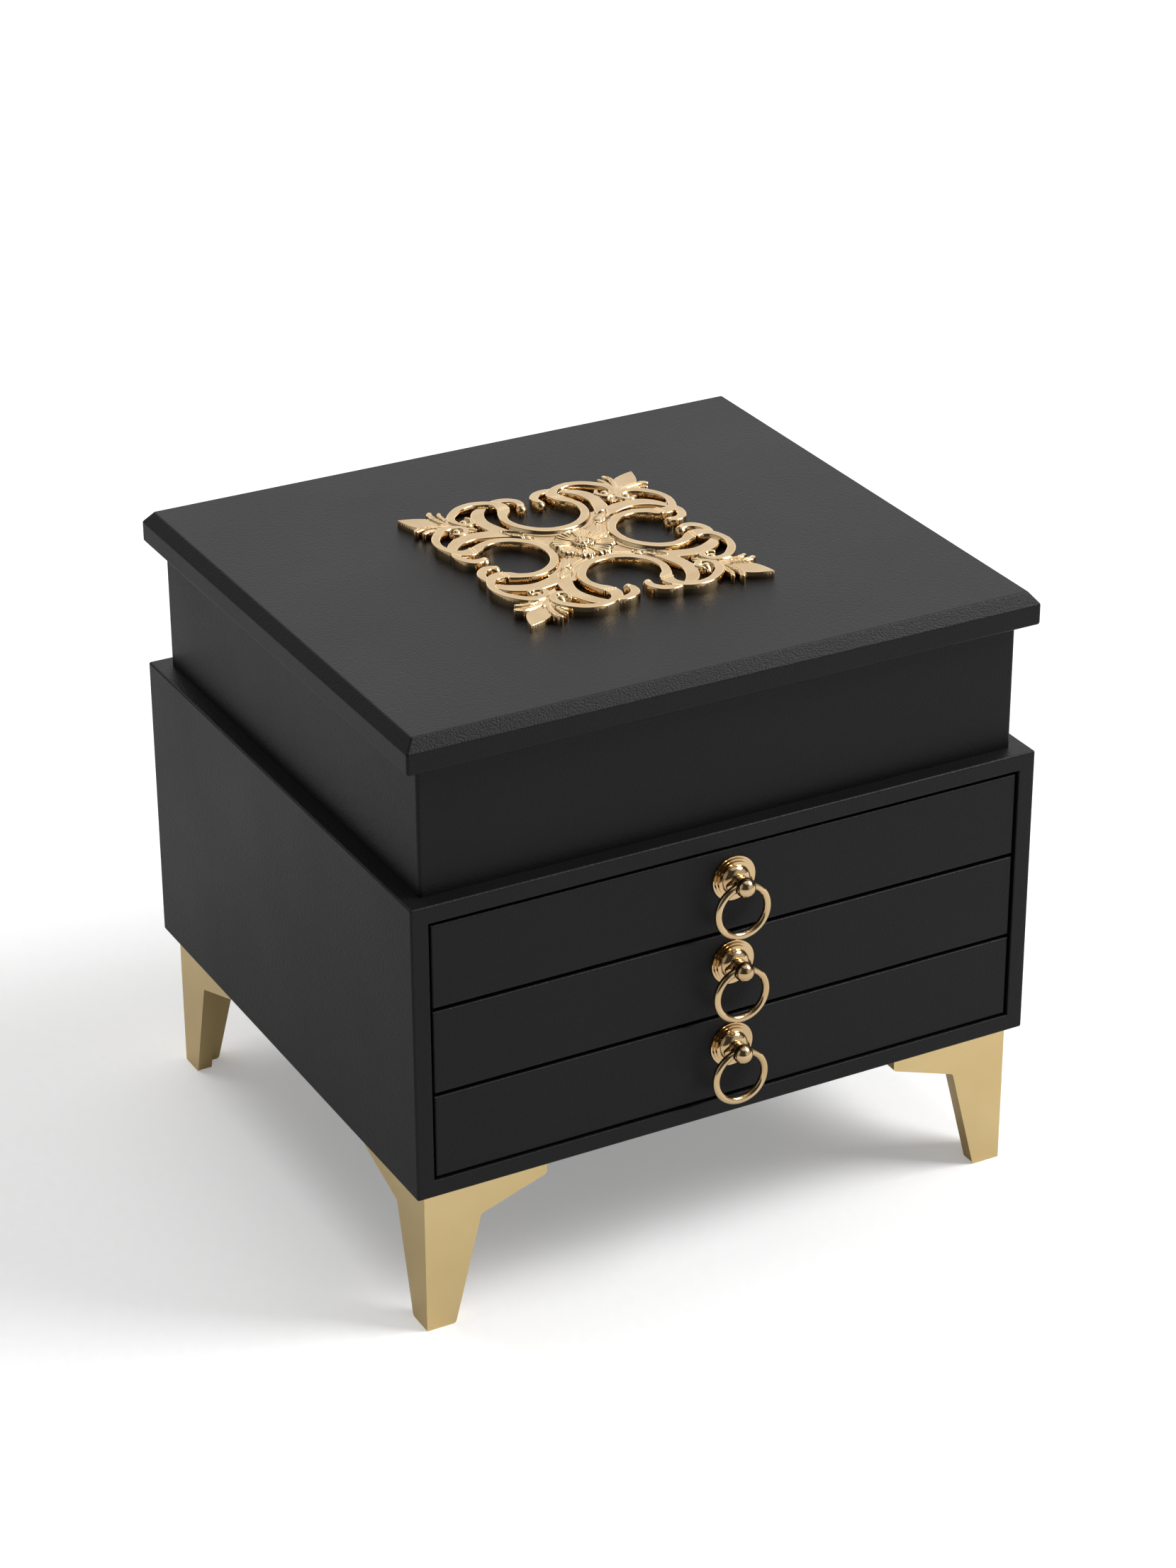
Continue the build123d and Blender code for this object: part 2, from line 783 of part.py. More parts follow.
with BuildPart() as lid_ornament:
    ornament_base = Plane((0, cabinet_centre - ornament_offset, lid_top))
    with BuildSketch(ornament_base) as centre_plate:
        Rectangle(*[2 * half for half in fitted(plate_half, plate_half)])
        for spot in ((0, eye_centre), (eye_centre, 0)):
            for sign in (-1, 1):
                with Locations(tuple(sign * value for value in fitted(*spot))):
                    Ellipse(*fitted(eye_radius, eye_radius), mode=Mode.SUBTRACT)
    extrude(centre_plate.sketch, amount=ornament_plate)
    with BuildSketch(ornament_base) as scrolls:
        rim_radius = eye_radius + rim_width / 2
        for swapped in (False, True):
            rim = [around((0, eye_centre), rim_radius, degrees) for degrees in (-90, -26, 38)]
            arch = [around(arch_centre, arch_radius, degrees) for degrees in (190, 90, -10)]
            band(rim, rim_width, swapped)
            band(arch, arch_width, swapped)
            band([(14.6, 54.6), (8.8, 57.2), (2.6, 51.0)], comma_width, swapped)
            band([(2.6, 51.0), (2.4, 48.0), (3.6, 45.0)], comma_width, swapped)
            band([(41.0, 46.0), (37.5, 48.0), (35.6, 44.2)], volute_width, swapped)
            blade((25.5, 25.5), (33.0, 41.0), (22.0, 59.0), (25.4, 42.0), swapped)
            blade((41.0, 42.0), (41.0, 51.5), (44.6, 57.2), (44.4, 50.0), swapped)
            blade((40.0, 42.0), (37.0, 51.0), (38.4, 58.4), (40.2, 51.0), swapped)
            for (u, v), radius in bead_spots.items():
                with Locations(fitted(u, v, swapped)):
                    Circle(radius)
        bow = leaf_half / math.sqrt(2)
        left_of_leaf = (leaf_middle - bow, leaf_middle + bow)
        right_of_leaf = (leaf_middle + bow, leaf_middle - bow)
        blade((42.0, 42.0), left_of_leaf, (square_half, square_half), right_of_leaf, False)
        blade((36.5, 36.5), (39.0, 46.0), (47.0, 47.0), (46.0, 39.0), False)
        mirror(about=Plane.YZ)
        mirror(about=Plane.XZ)
    extrude(scrolls.sketch, amount=ornament_height)
    with BuildSketch(ornament_base) as rosette:
        Circle(petal_ring)
        with PolarLocations(petal_ring, petal_count):
            Circle(petal_radius)
    extrude(rosette.sketch, amount=rosette_height)
    with Locations(ornament_base.offset(button_height - button_radius).origin):
        # The button is the upper half of a ball, because a whole one would reach into the lid
        Sphere(button_radius, arc_size1=0, align=(Align.CENTER, Align.CENTER, Align.MIN))
save(lid_ornament, "lid_ornament")
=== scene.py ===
import json
import math
import bmesh
import bpy
import numpy as np
from mathutils import Matrix, Vector, geometry, noise
from mathutils.bvhtree import BVHTree


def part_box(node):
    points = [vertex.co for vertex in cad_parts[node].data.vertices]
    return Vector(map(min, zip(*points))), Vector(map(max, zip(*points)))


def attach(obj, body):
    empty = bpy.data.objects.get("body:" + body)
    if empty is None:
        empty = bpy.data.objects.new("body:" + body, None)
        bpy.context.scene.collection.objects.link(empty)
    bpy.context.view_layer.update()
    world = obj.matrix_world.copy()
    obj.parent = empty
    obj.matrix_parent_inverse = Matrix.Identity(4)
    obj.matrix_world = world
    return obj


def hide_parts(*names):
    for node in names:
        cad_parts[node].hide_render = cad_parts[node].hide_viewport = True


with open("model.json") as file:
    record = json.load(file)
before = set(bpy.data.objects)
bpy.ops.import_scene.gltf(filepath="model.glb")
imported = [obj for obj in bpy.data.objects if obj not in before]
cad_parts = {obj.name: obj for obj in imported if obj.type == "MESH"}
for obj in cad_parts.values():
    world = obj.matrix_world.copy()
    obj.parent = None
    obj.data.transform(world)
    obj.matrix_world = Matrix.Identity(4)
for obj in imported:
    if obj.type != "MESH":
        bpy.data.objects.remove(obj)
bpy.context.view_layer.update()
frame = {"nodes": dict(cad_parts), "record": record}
nodes = frame["nodes"]
slotOf = {part["node"]: part["material_slot"] for part in frame["record"]["subparts"]}
mm = 0.001
drawerCount = sum(name.endswith("_front") and name.startswith("drawer_") for name in nodes)
print("frame loaded with", len(nodes), "nodes and", drawerCount, "drawers")


# Materials

def toLinear(hexColour):
    # an sRGB hex colour as the linear colour that shaders take
    channels = [int(hexColour[i:i + 2], 16) / 255 for i in (1, 3, 5)]
    return [c / 12.92 if c <= 0.04045 else ((c + 0.055) / 1.055) ** 2.4 for c in channels] + [1.0]


def addNode(tree, kind, settings=None, links=None):
    # settings go to the node's sockets or else to the node itself, links come from other sockets
    node = tree.nodes.new(kind)
    for name, value in (settings or {}).items():
        if name in node.inputs:
            node.inputs[name].default_value = value
        else:
            setattr(node, name, value)
    for name, source in (links or {}).items():
        tree.links.new(source, node.inputs[name])
    return node


def addRamp(tree, factor, low, high, darkHex, lightHex):
    # a colour that wanders between two hex colours as the factor goes from low to high
    ramp = addNode(tree, "ShaderNodeValToRGB", links={"Fac": factor})
    ends = ramp.color_ramp.elements
    ends[0].position, ends[1].position = low, high
    ends[0].color, ends[1].color = toLinear(darkHex), toLinear(lightHex)
    return ramp.outputs["Color"]


def addRange(tree, value, low, high):
    # a 0 to 1 value spread over low to high
    spread = addNode(tree, "ShaderNodeMapRange", {"To Min": low, "To Max": high}, {"Value": value})
    return spread.outputs["Result"]


def startMaterial(name):
    material = bpy.data.materials.new(name)
    material.use_nodes = True
    tree = material.node_tree
    tree.nodes.clear()
    place = addNode(tree, "ShaderNodeTexCoord").outputs["Object"]
    return material, tree, place


def finishMaterial(tree, colour, roughness, normal, settings):
    links = {"Base Color": colour, "Roughness": roughness, "Normal": normal}
    surface = addNode(tree, "ShaderNodeBsdfPrincipled", settings, links)
    addNode(tree, "ShaderNodeOutputMaterial", links={"Surface": surface.outputs["BSDF"]})


def perMetre(size):
    # texture scale for a pattern of this size in millimetres
    return 1000 / size


def makeEmbossedLeatherette(name, look):
    # PVC leatherette, embossed with a fine pebble grain and glued round board: an even, semi-matt
    # black whose grain only shows where light skims it, as on the lid's bevel
    material, tree, place = startMaterial(name)
    warp = addNode(tree, "ShaderNodeTexNoise",
                   {"Scale": perMetre(look["pebble"] * 2.5), "Detail": 2.0}, {"Vector": place})
    shifted = addNode(tree, "ShaderNodeVectorMath", {"operation": "MULTIPLY_ADD"},
                      {0: warp.outputs["Color"], 2: place})
    shifted.inputs[1].default_value = (look["pebble"] * mm,) * 3
    pebbles = addNode(tree, "ShaderNodeTexVoronoi",
                      {"feature": "SMOOTH_F1", "Scale": perMetre(look["pebble"]),
                       "Smoothness": 0.35},
                      {"Vector": shifted.outputs["Vector"]})
    pores = addNode(tree, "ShaderNodeTexNoise",
                    {"Scale": perMetre(look["pore"]), "Detail": 3.0}, {"Vector": place})
    grain = addNode(tree, "ShaderNodeMath", {"operation": "MULTIPLY_ADD"},
                    {0: pores.outputs["Fac"], 2: pebbles.outputs["Distance"]})
    grain.inputs[1].default_value = look["poreShare"]
    tension = addNode(tree, "ShaderNodeTexNoise",
                      {"Scale": perMetre(look["drift"]), "Detail": 3.0}, {"Vector": place})
    bump = addNode(tree, "ShaderNodeBump",
                   {"invert": True, "Strength": look["strength"], "Distance": look["depth"] * mm},
                   {"Height": grain.outputs["Value"]})
    colour = addRamp(tree, tension.outputs["Fac"], 0.35, 0.65, look["dark"], look["light"])
    roughness = addRange(tree, tension.outputs["Fac"], *look["roughness"])
    finishMaterial(tree, colour, roughness, bump.outputs["Normal"], look["surface"])
    return material


def makeCoveredBoard(name, look):
    # greyboard wrapped in matt black paper, rolled flat: dull, with short fibres that catch a
    # little light
    material, tree, place = startMaterial(name)
    fibres = addNode(tree, "ShaderNodeTexNoise",
                     {"Scale": perMetre(look["fibre"]), "Detail": 6.0, "Distortion": 1.2},
                     {"Vector": place})
    mottle = addNode(tree, "ShaderNodeTexNoise",
                     {"Scale": perMetre(look["mottle"]), "Detail": 4.0}, {"Vector": place})
    bump = addNode(tree, "ShaderNodeBump",
                   {"Strength": look["strength"], "Distance": look["depth"] * mm},
                   {"Height": fibres.outputs["Fac"]})
    colour = addRamp(tree, mottle.outputs["Fac"], 0.3, 0.7, look["dark"], look["light"])
    roughness = addRange(tree, fibres.outputs["Fac"], *look["roughness"])
    finishMaterial(tree, colour, roughness, bump.outputs["Normal"], look["surface"])
    return material


def makeBlackVelvet(name, look):
    # flocked velvet, short pile: near black face on, with a grey bloom at its edges, and patches
    # where the pile leans another way, with painted sheen in their lighter and darker colour
    material, tree, place = startMaterial(name)
    pile = addNode(tree, "ShaderNodeTexNoise",
                   {"Scale": perMetre(look["pile"]), "Detail": 2.0}, {"Vector": place})
    napSheen = addNode(tree, "ShaderNodeTexNoise",
                  {"Scale": perMetre(look["napSheen"]), "Detail": 2.0, "Distortion": 0.8},
                  {"Vector": place})
    bump = addNode(tree, "ShaderNodeBump",
                   {"Strength": look["strength"], "Distance": look["depth"] * mm},
                   {"Height": pile.outputs["Fac"]})
    # painted sheen: the colour goes lighter and darker over the patches of leaning pile
    colour = addRamp(tree, napSheen.outputs["Fac"], 0.4, 0.6, look["dark"], look["light"])
    # the roughness over the same patches is the pile's own
    roughness = addRange(tree, napSheen.outputs["Fac"], *look["roughness"])
    finishMaterial(tree, colour, roughness, bump.outputs["Normal"], look["surface"])
    return material


def makeMetal(name, look):
    # one recipe for the metals: a polish that drifts over the surface, and fine marks of the way
    # it was worked, which run along look["grainStretch"]
    material, tree, place = startMaterial(name)
    stretched = addNode(tree, "ShaderNodeMapping", {"Scale": look["grainStretch"]},
                        {"Vector": place})
    marks = addNode(tree, "ShaderNodeTexNoise",
                    {"Scale": perMetre(look["mark"]), "Detail": 3.0},
                    {"Vector": stretched.outputs["Vector"]})
    drift = addNode(tree, "ShaderNodeTexNoise",
                    {"Scale": perMetre(look["drift"]), "Detail": 2.0}, {"Vector": place})
    bump = addNode(tree, "ShaderNodeBump",
                   {"Strength": look["strength"], "Distance": look["depth"] * mm},
                   {"Height": marks.outputs["Fac"]})
    colour = addRamp(tree, drift.outputs["Fac"], 0.3, 0.7, look["dark"], look["light"])
    roughness = addRange(tree, marks.outputs["Fac"], *look["roughness"])
    finishMaterial(tree, colour, roughness, bump.outputs["Normal"], look["surface"])
    return material


# The real pebble is about 0.4 mm, which no render of the whole box shows, so it is drawn as 0.8 mm
leatheretteLook = {
    "pebble": 0.8, "pore": 0.35, "poreShare": 0.35, "depth": 0.10, "strength": 1.0, "drift": 60.0,
    "dark": "#0d0d0e", "light": "#101011", "roughness": (0.43, 0.53),
    "surface": {"IOR": 1.27},
}
coveredBoardLook = {
    "fibre": 0.8, "mottle": 14.0, "depth": 0.04, "strength": 0.5,
    "dark": "#161617", "light": "#1f1f20", "roughness": (0.7, 0.9),
    "surface": {"Specular IOR Level": 0.3},
}
# Pile is about 0.2 mm, drawn as 0.5 mm so that it shows
velvetLook = {
    "pile": 0.5, "napSheen": 22.0, "depth": 0.15, "strength": 0.6,
    # dark and light are the ends of the painted sheen over the patches of leaning pile
    "dark": "#0c0c0e", "light": "#141417", "roughness": (0.8, 0.95),
    "surface": {"Specular IOR Level": 0.15, "Sheen Weight": 0.55, "Sheen Roughness": 0.45,
                "Sheen Tint": (0.30, 0.30, 0.33, 1.0)},
}
# Zinc alloy, cast and polished, then plated with pale gold: mirror-like and almost white where it
# meets the light, and brown where it sees itself
goldPlateLook = {
    "mark": 1.6, "drift": 12.0, "grainStretch": (1.0, 1.0, 1.0), "depth": 0.012, "strength": 0.5,
    "dark": "#bea279", "light": "#cbb189", "roughness": (0.06, 0.13),
    "surface": {"Metallic": 1.0},
}
# Steel sheet, blasted and then plated in champagne gold: satin, with no mirror image
satinGoldLook = {
    "mark": 0.5, "drift": 45.0, "grainStretch": (1.0, 1.0, 0.35), "depth": 0.02, "strength": 0.5,
    "dark": "#d2b985", "light": "#dac28f", "roughness": (0.36, 0.46),
    "surface": {"Metallic": 1.0},
}
# Rolled brass strip, tumbled after bending: soft lines along the leaf
rolledBrassLook = {
    "mark": 0.6, "drift": 9.0, "grainStretch": (0.15, 1.0, 1.0), "depth": 0.02, "strength": 0.5,
    "dark": "#b98f4c", "light": "#d0a862", "roughness": (0.22, 0.36),
    "surface": {"Metallic": 1.0},
}
# Turned steel, zinc plated: cool grey with a cloudy shine
zincSteelLook = {
    "mark": 0.5, "drift": 5.0, "grainStretch": (1.0, 1.0, 1.0), "depth": 0.015, "strength": 0.5,
    "dark": "#9fa4a9", "light": "#c3c6c8", "roughness": (0.25, 0.4),
    "surface": {"Metallic": 1.0},
}
finishes = {
    "leatherette": makeEmbossedLeatherette("embossedLeatherette", leatheretteLook),
    "covered_board": makeCoveredBoard("paperCoveredBoard", coveredBoardLook),
    "velvet": makeBlackVelvet("flockedVelvet", velvetLook),
    "polished_gold": makeMetal("polishedGoldPlate", goldPlateLook),
    "satin_gold": makeMetal("satinChampagneGold", satinGoldLook),
    "hinge_brass": makeMetal("rolledBrass", rolledBrassLook),
    "zinc_steel": makeMetal("zincPlatedSteel", zincSteelLook),
}
for name, piece in nodes.items():
    piece.data.materials.clear()
    piece.data.materials.append(finishes[slotOf[name]])
print("materials made:", len(finishes))


def addPiece(name, mesh, body, slot, replaced):
    # a new piece that rides on a body, takes a slot's finish and stands for a CAD node
    piece = bpy.data.objects.new(name, mesh)
    bpy.context.scene.collection.objects.link(piece)
    mesh.materials.append(finishes[slot])
    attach(piece, body)
    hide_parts(replaced)
    return piece


# Velvet pads, linings and dividers

velvetShape = {
    "step": 6.0,       # mm between the points of a pad's top
    "roundSteps": 4,   # rows of points round an edge
    "wander": 0.12,    # mm that the pile's surface rises and falls
    "wanderSize": 17.0,  # mm from one rise to the next
    "tuck": 0.15,      # mm that a pad's sides pull in above its base
    "crease": 60.0,    # degrees from which an edge stays sharp to the eye
}


def padStops(low, high, edge):
    # where a pad's points stand along one side: close together round the edges, wide between
    shape = velvetShape
    turns = [edge * (1 - math.cos(math.pi / 2 * i / shape["roundSteps"]))
             for i in range(shape["roundSteps"] + 1)]
    count = max(1, round((high - low - 2 * edge) / (shape["step"] * mm)))
    middle = [low + edge + (high - low - 2 * edge) * i / count for i in range(1, count)]
    return [low + turn for turn in turns] + middle + [high - turn for turn in reversed(turns)]


def addPad(mesh, low, high, edge, crown):
    # one velvet-covered pad between two corners, its top crowned and rolled over at the edges
    shape = velvetShape
    xs, ys = padStops(low.x, high.x, edge), padStops(low.y, high.y, edge)
    rows = []
    for y in ys:
        row = []
        for x in xs:
            toSide = min(x - low.x, high.x - x, y - low.y, high.y - y)
            inRound = max(0.0, edge - toSide)
            drop = edge - math.sqrt(max(0.0, edge ** 2 - inRound ** 2))
            across = abs(2 * (x - low.x) / (high.x - low.x) - 1)
            along = abs(2 * (y - low.y) / (high.y - low.y) - 1)
            fall = crown * (1 - (1 - across ** 4) * (1 - along ** 4))
            seed = Vector((x, y, high.z)) / (shape["wanderSize"] * mm)
            ripple = shape["wander"] * mm * (noise.noise(seed) - 1) / 2
            steady = min(1.0, toSide / (2 * edge))
            row.append(mesh.verts.new((x, y, high.z - drop - fall + ripple * steady)))
        rows.append(row)
    for lower, upper in zip(rows, rows[1:]):
        for i in range(len(xs) - 1):
            mesh.faces.new((lower[i], lower[i + 1], upper[i + 1], upper[i]))
    rim = rows[0] + [row[-1] for row in rows[1:]]
    rim += rows[-1][-2::-1] + [row[0] for row in rows[-2:0:-1]]
    tuck = shape["tuck"] * mm
    middle = (low + high) / 2
    foot = []
    for point in rim:
        x = point.co.x + math.copysign(tuck, middle.x - point.co.x)
        y = point.co.y + math.copysign(tuck, middle.y - point.co.y)
        foot.append(mesh.verts.new((x, y, low.z)))
    for i, point in enumerate(rim):
        j = (i + 1) % len(rim)
        mesh.faces.new((point, foot[i], foot[j], rim[j]))
    mesh.faces.new(reversed(foot))


def smoothMesh(shape, name, crease):
    # a finished bmesh as a smooth-shaded mesh, its faces turned outwards, with an edge left sharp
    # where its faces turn by more than the crease, in degrees
    bmesh.ops.recalc_face_normals(shape, faces=shape.faces)
    mesh = bpy.data.meshes.new(name)
    shape.to_mesh(mesh)
    shape.free()
    mesh.shade_smooth()
    mesh.set_sharp_from_angle(angle=math.radians(crease))
    return mesh


def makePads(name, boxes, edge, crown, body, replaced, upsideDown=False):
    shape = bmesh.new()
    for low, high in boxes:
        addPad(shape, low, high, edge * mm, crown * mm)
        if upsideDown:
            # turned over in place, so that the crown faces down
            for point in shape.verts:
                point.co.z = low.z + high.z - point.co.z
    mesh = smoothMesh(shape, name, velvetShape["crease"])
    return addPiece(name, mesh, body, "velvet", replaced)


# In mm: how far each pad's edge rolls over and its top is crowned, how thick the compartment's
# linings are and how far they stay apart, and how wide a drawer's divider rolls are
padShape = {
    "floorEdge": 1.6, "floorCrown": 0.8, "lidEdge": 2.0, "lidCrown": 1.0,
    "drawerEdge": 0.8, "drawerCrown": 0.3,
    "lining": 1.5, "liningGap": 0.4, "liningEdge": 0.7,
    "rollCount": 4, "rollWidth": 4.0, "rollEdge": 1.9,
}

floorPad = makePads("compartmentFloorPad", [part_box("compartment_floor")], padShape["floorEdge"],
                    padShape["floorCrown"], "cabinet", "compartment_floor")
lidPad = makePads("lidPad", [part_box("lid_velvet_pad")], padShape["lidEdge"],
                  padShape["lidCrown"], "lid", "lid_velvet_pad", upsideDown=True)

# front and back linings run the whole width, and the two at the sides stand between them
low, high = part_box("compartment_linings")
thick = padShape["lining"] * mm
sideLow = low.y + thick + padShape["liningGap"] * mm
sideHigh = high.y - thick - padShape["liningGap"] * mm
linings = [
    (low, Vector((high.x, low.y + thick, high.z))),
    (Vector((low.x, high.y - thick, low.z)), high),
    (Vector((low.x, sideLow, low.z)), Vector((low.x + thick, sideHigh, high.z))),
    (Vector((high.x - thick, sideLow, low.z)), Vector((high.x, sideHigh, high.z))),
]
makePads("compartmentWallLinings", linings, padShape["liningEdge"], 0.0, "cabinet",
         "compartment_linings")

for number in range(1, drawerCount + 1):
    drawer = f"drawer_{number}"
    pad = makePads(f"{drawer}_floorPad", [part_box(f"{drawer}_velvet_floor")],
                   padShape["drawerEdge"], padShape["drawerCrown"], drawer,
                   f"{drawer}_velvet_floor")
    low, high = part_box(f"{drawer}_dividers")
    width = padShape["rollWidth"] * mm
    pitch = (high.x - low.x - width) / (padShape["rollCount"] - 1)
    rolls = [(Vector((low.x + i * pitch, low.y, low.z)),
              Vector((low.x + i * pitch + width, high.y, high.z)))
             for i in range(padShape["rollCount"])]
    makePads(f"{drawer}_dividerRolls", rolls, padShape["rollEdge"], 0.0, drawer,
             f"{drawer}_dividers")
print("velvet pieces made")


# Lid ornament: a casting whose height is worked out over one quarter and mirrored twice

ornament = {
    "reach": 60.5,        # half width of the square that the ornament is set out on
    "cell": 0.34,         # mm between the points of its surface
    "weld": 0.09,         # mm under which two points of its outline become one
    "lowest": 1.5,        # mm above the lid, as are the next four
    "plate": 3.1,
    "crescent": 4.2,
    "scroll": 4.9,
    "leaf": 3.7,
    "shoulder": 0.6,      # mm over which an edge rounds off
    "crease": 42.0,       # degrees from which an edge stays sharp to the eye
}
# Centre lines of the scrolls in one eighth: along, across and width
scrollBands = {
    "rim": [(-2.0, 17.4, 4.0), (5.5, 18.2, 4.1), (12.3, 22.0, 4.2), (17.4, 28.6, 4.2),
            (18.9, 35.6, 4.2), (17.2, 41.6, 4.6), (14.6, 45.6, 6.0), (13.4, 49.2, 6.4),
            (14.0, 52.6, 5.6), (16.6, 55.4, 4.3), (20.5, 57.3, 3.9), (25.3, 58.0, 3.8),
            (31.0, 56.6, 4.0), (35.8, 53.2, 4.3), (39.4, 49.0, 4.2), (40.2, 44.6, 3.6),
            (38.6, 40.8, 3.1), (35.6, 39.3, 2.8), (33.0, 40.6, 2.6), (32.0, 43.4, 2.4),
            (33.2, 46.0, 2.0)],
    "crescent": [(21.0, 21.0, 6.2), (24.4, 25.0, 6.8), (26.8, 30.5, 7.1), (28.3, 36.2, 6.8),
                 (28.6, 41.0, 6.7), (27.3, 46.2, 6.6), (24.4, 51.0, 6.0), (20.0, 54.8, 4.4)],
    "comma": [(15.4, 56.0, 3.2), (11.4, 56.2, 4.0), (7.4, 54.9, 4.4), (4.7, 52.2, 4.4),
              (4.1, 49.4, 4.0), (4.6, 47.6, 3.6)],
    "nearPetal": [(42.6, 43.2, 1.8), (44.4, 47.5, 2.4), (45.7, 52.5, 3.0), (45.9, 56.6, 3.2),
                  (45.0, 58.8, 2.6)],
    "farPetal": [(41.2, 42.8, 1.6), (41.8, 47.0, 2.1), (42.2, 51.0, 2.5), (42.1, 54.6, 2.5),
                 (41.2, 56.8, 2.0)],
}
print("ornament under way")


def splinePoints(controls, steps=7):
    # a Catmull-Rom line through the control points, width included
    points = [np.array(c, float) for c in controls]
    points = [2 * points[0] - points[1]] + points + [2 * points[-1] - points[-2]]
    line = []
    for a, b, c, d in zip(points, points[1:], points[2:], points[3:]):
        for t in np.arange(steps) / steps:
            line.append(0.5 * (2 * b + (c - a) * t + (2 * a - 5 * b + 4 * c - d) * t ** 2
                               + (3 * b - a - 3 * c + d) * t ** 3))
    return line + [points[-2]]


def insideBand(controls, u, v):
    # how deep each point lies inside a band, less than 0 outside it
    line = splinePoints(controls)
    depth = np.full(u.shape, -99.0)
    for a, b in zip(line, line[1:]):
        du, dv = b[0] - a[0], b[1] - a[1]
        t = np.clip(((u - a[0]) * du + (v - a[1]) * dv) / (du * du + dv * dv), 0, 1)
        gap = np.hypot(u - a[0] - t * du, v - a[1] - t * dv)
        depth = np.maximum(depth, (a[2] + t * (b[2] - a[2])) / 2 - gap)
    return depth


def insideBead(centre, radius, u, v):
    return radius - np.hypot(u - centre[0], v - centre[1])


def insideLeaf(leaf, u, v):
    # how deep each point lies inside a pointed leaf from base to tip, widest at the share
    # "fullness" of its length, and how far it is from the leaf's midrib
    base, tip, fullness = leaf["base"], leaf["tip"], leaf["fullness"]
    length = math.hypot(tip[0] - base[0], tip[1] - base[1])
    du, dv = (tip[0] - base[0]) / length, (tip[1] - base[1]) / length
    along = (u - base[0]) * du + (v - base[1]) * dv
    across = np.abs((v - base[1]) * du - (u - base[0]) * dv)
    t = np.clip(along / length, 0, 1)
    rise = np.sin(np.pi / 2 * np.clip(t / fullness, 0, 1)) ** 0.7
    fall = 1 - np.clip((t - fullness) / (1 - fullness), 0, 1) ** 1.7
    width = leaf["half"] * rise * fall
    past = np.maximum(np.maximum(-along, along - length), 0)
    return np.minimum(width - across, 0.2 - past) * 0.8, across


def rolled(inside, top, shoulder):
    # height of a shape whose edge rounds off over the shoulder
    return top - shoulder * np.maximum(0, 1 - inside / shoulder) ** 2


def domed(inside, radius, top, rise):
    # height of a bead
    return top - rise * np.maximum(0, 1 - inside / radius) ** 2


def raiseTo(height, depth, level):
    # lifts the surface to a level where a part stands on it
    height[:] = np.where(depth > 0, np.maximum(height, level), height)


def raiseBead(height, distance, radius, level, rise):
    # a round bead, given each point's distance from its middle
    bulge = np.sqrt(np.clip(1 - distance / radius, 0, 1))
    raiseTo(height, radius - distance, level + rise * bulge)


# What stands on and beside the scrolls, in mm on the same square
scrollDetails = {
    "commaDrop": 0.2,                        # how far the commas stay below the scrolls
    "thinFrom": 48.0, "thinSlope": 0.0625,   # the crescent falls off towards its outer end
    "web": {"centre": (36.0, 43.2), "radius": 3.6, "top": 2.9},   # ground inside the volute
    "beadCentres": [(4.9, 46.6), (36.1, 43.3)],
    "bead": {"radius": 2.5, "top": 5.1, "rise": 1.9},
    "petalRise": 0.5, "petalRound": 0.5,
    "petalGroove": {"depth": 0.45, "from": 1.15, "half": 0.35},
    "collar": {"start": (11.4, 46.9), "along": (1.5, -0.25), "over": (0.7, 1.3), "counts": (4, 2),
               "radius": 0.85, "top": 4.4, "rise": 0.9},
}


def eighthOfOrnament(u, v, inside, height):
    # adds what stands in the eighth above the diagonal, and its mirror image comes from (v, u)
    shoulder, details = ornament["shoulder"], scrollDetails

    def add(depth, level):
        inside[:] = np.maximum(inside, depth)
        height[:] = np.maximum(height, level)

    band = insideBand(scrollBands["crescent"], u, v)
    thinning = details["thinSlope"] * np.clip(v - details["thinFrom"], 0, 8)
    add(band, rolled(band, ornament["crescent"], shoulder) - thinning)
    band = insideBand(scrollBands["rim"], u, v)
    add(band, rolled(band, ornament["scroll"], shoulder))
    band = insideBand(scrollBands["comma"], u, v)
    add(band, rolled(band, ornament["scroll"] - details["commaDrop"], shoulder))
    web = details["web"]
    depth = insideBead(web["centre"], web["radius"], u, v)
    add(depth, rolled(depth, web["top"], shoulder))
    bead = details["bead"]
    for centre in details["beadCentres"]:
        depth = insideBead(centre, bead["radius"], u, v)
        add(depth, domed(depth, bead["radius"], bead["top"], bead["rise"]))
    # two curled petals beside the corner leaf, each with a groove down its middle
    cut = details["petalGroove"]
    for petal in ("nearPetal", "farPetal"):
        band = insideBand(scrollBands[petal], u, v)
        groove = cut["depth"] * np.exp(-((band - cut["from"]) / cut["half"]) ** 2)
        top = rolled(band, ornament["leaf"] + details["petalRise"], details["petalRound"])
        add(band, top - groove * (band > 0))
    # collar of small beads where the scroll leaves the eye
    collar = details["collar"]
    for i in range(collar["counts"][0]):
        for j in range(collar["counts"][1]):
            centre = [start + i * along + j * over for start, along, over
                      in zip(collar["start"], collar["along"], collar["over"])]
            away = np.hypot(u - centre[0], v - centre[1])
            raiseBead(height, away, collar["radius"], collar["top"], collar["rise"])


# The plate's outline, and the cove and the fine groove that follow each eye's rim, in mm
plateShape = {
    "eyeCentre": 36.3, "eyeRadius": 17.4, "half": 29.5, "rise": 0.5,
    "cove": {"depth": 0.55, "from": 3.2, "width": 4.0},
    "groove": {"depth": 0.35, "from": 7.4, "half": 0.3},
}


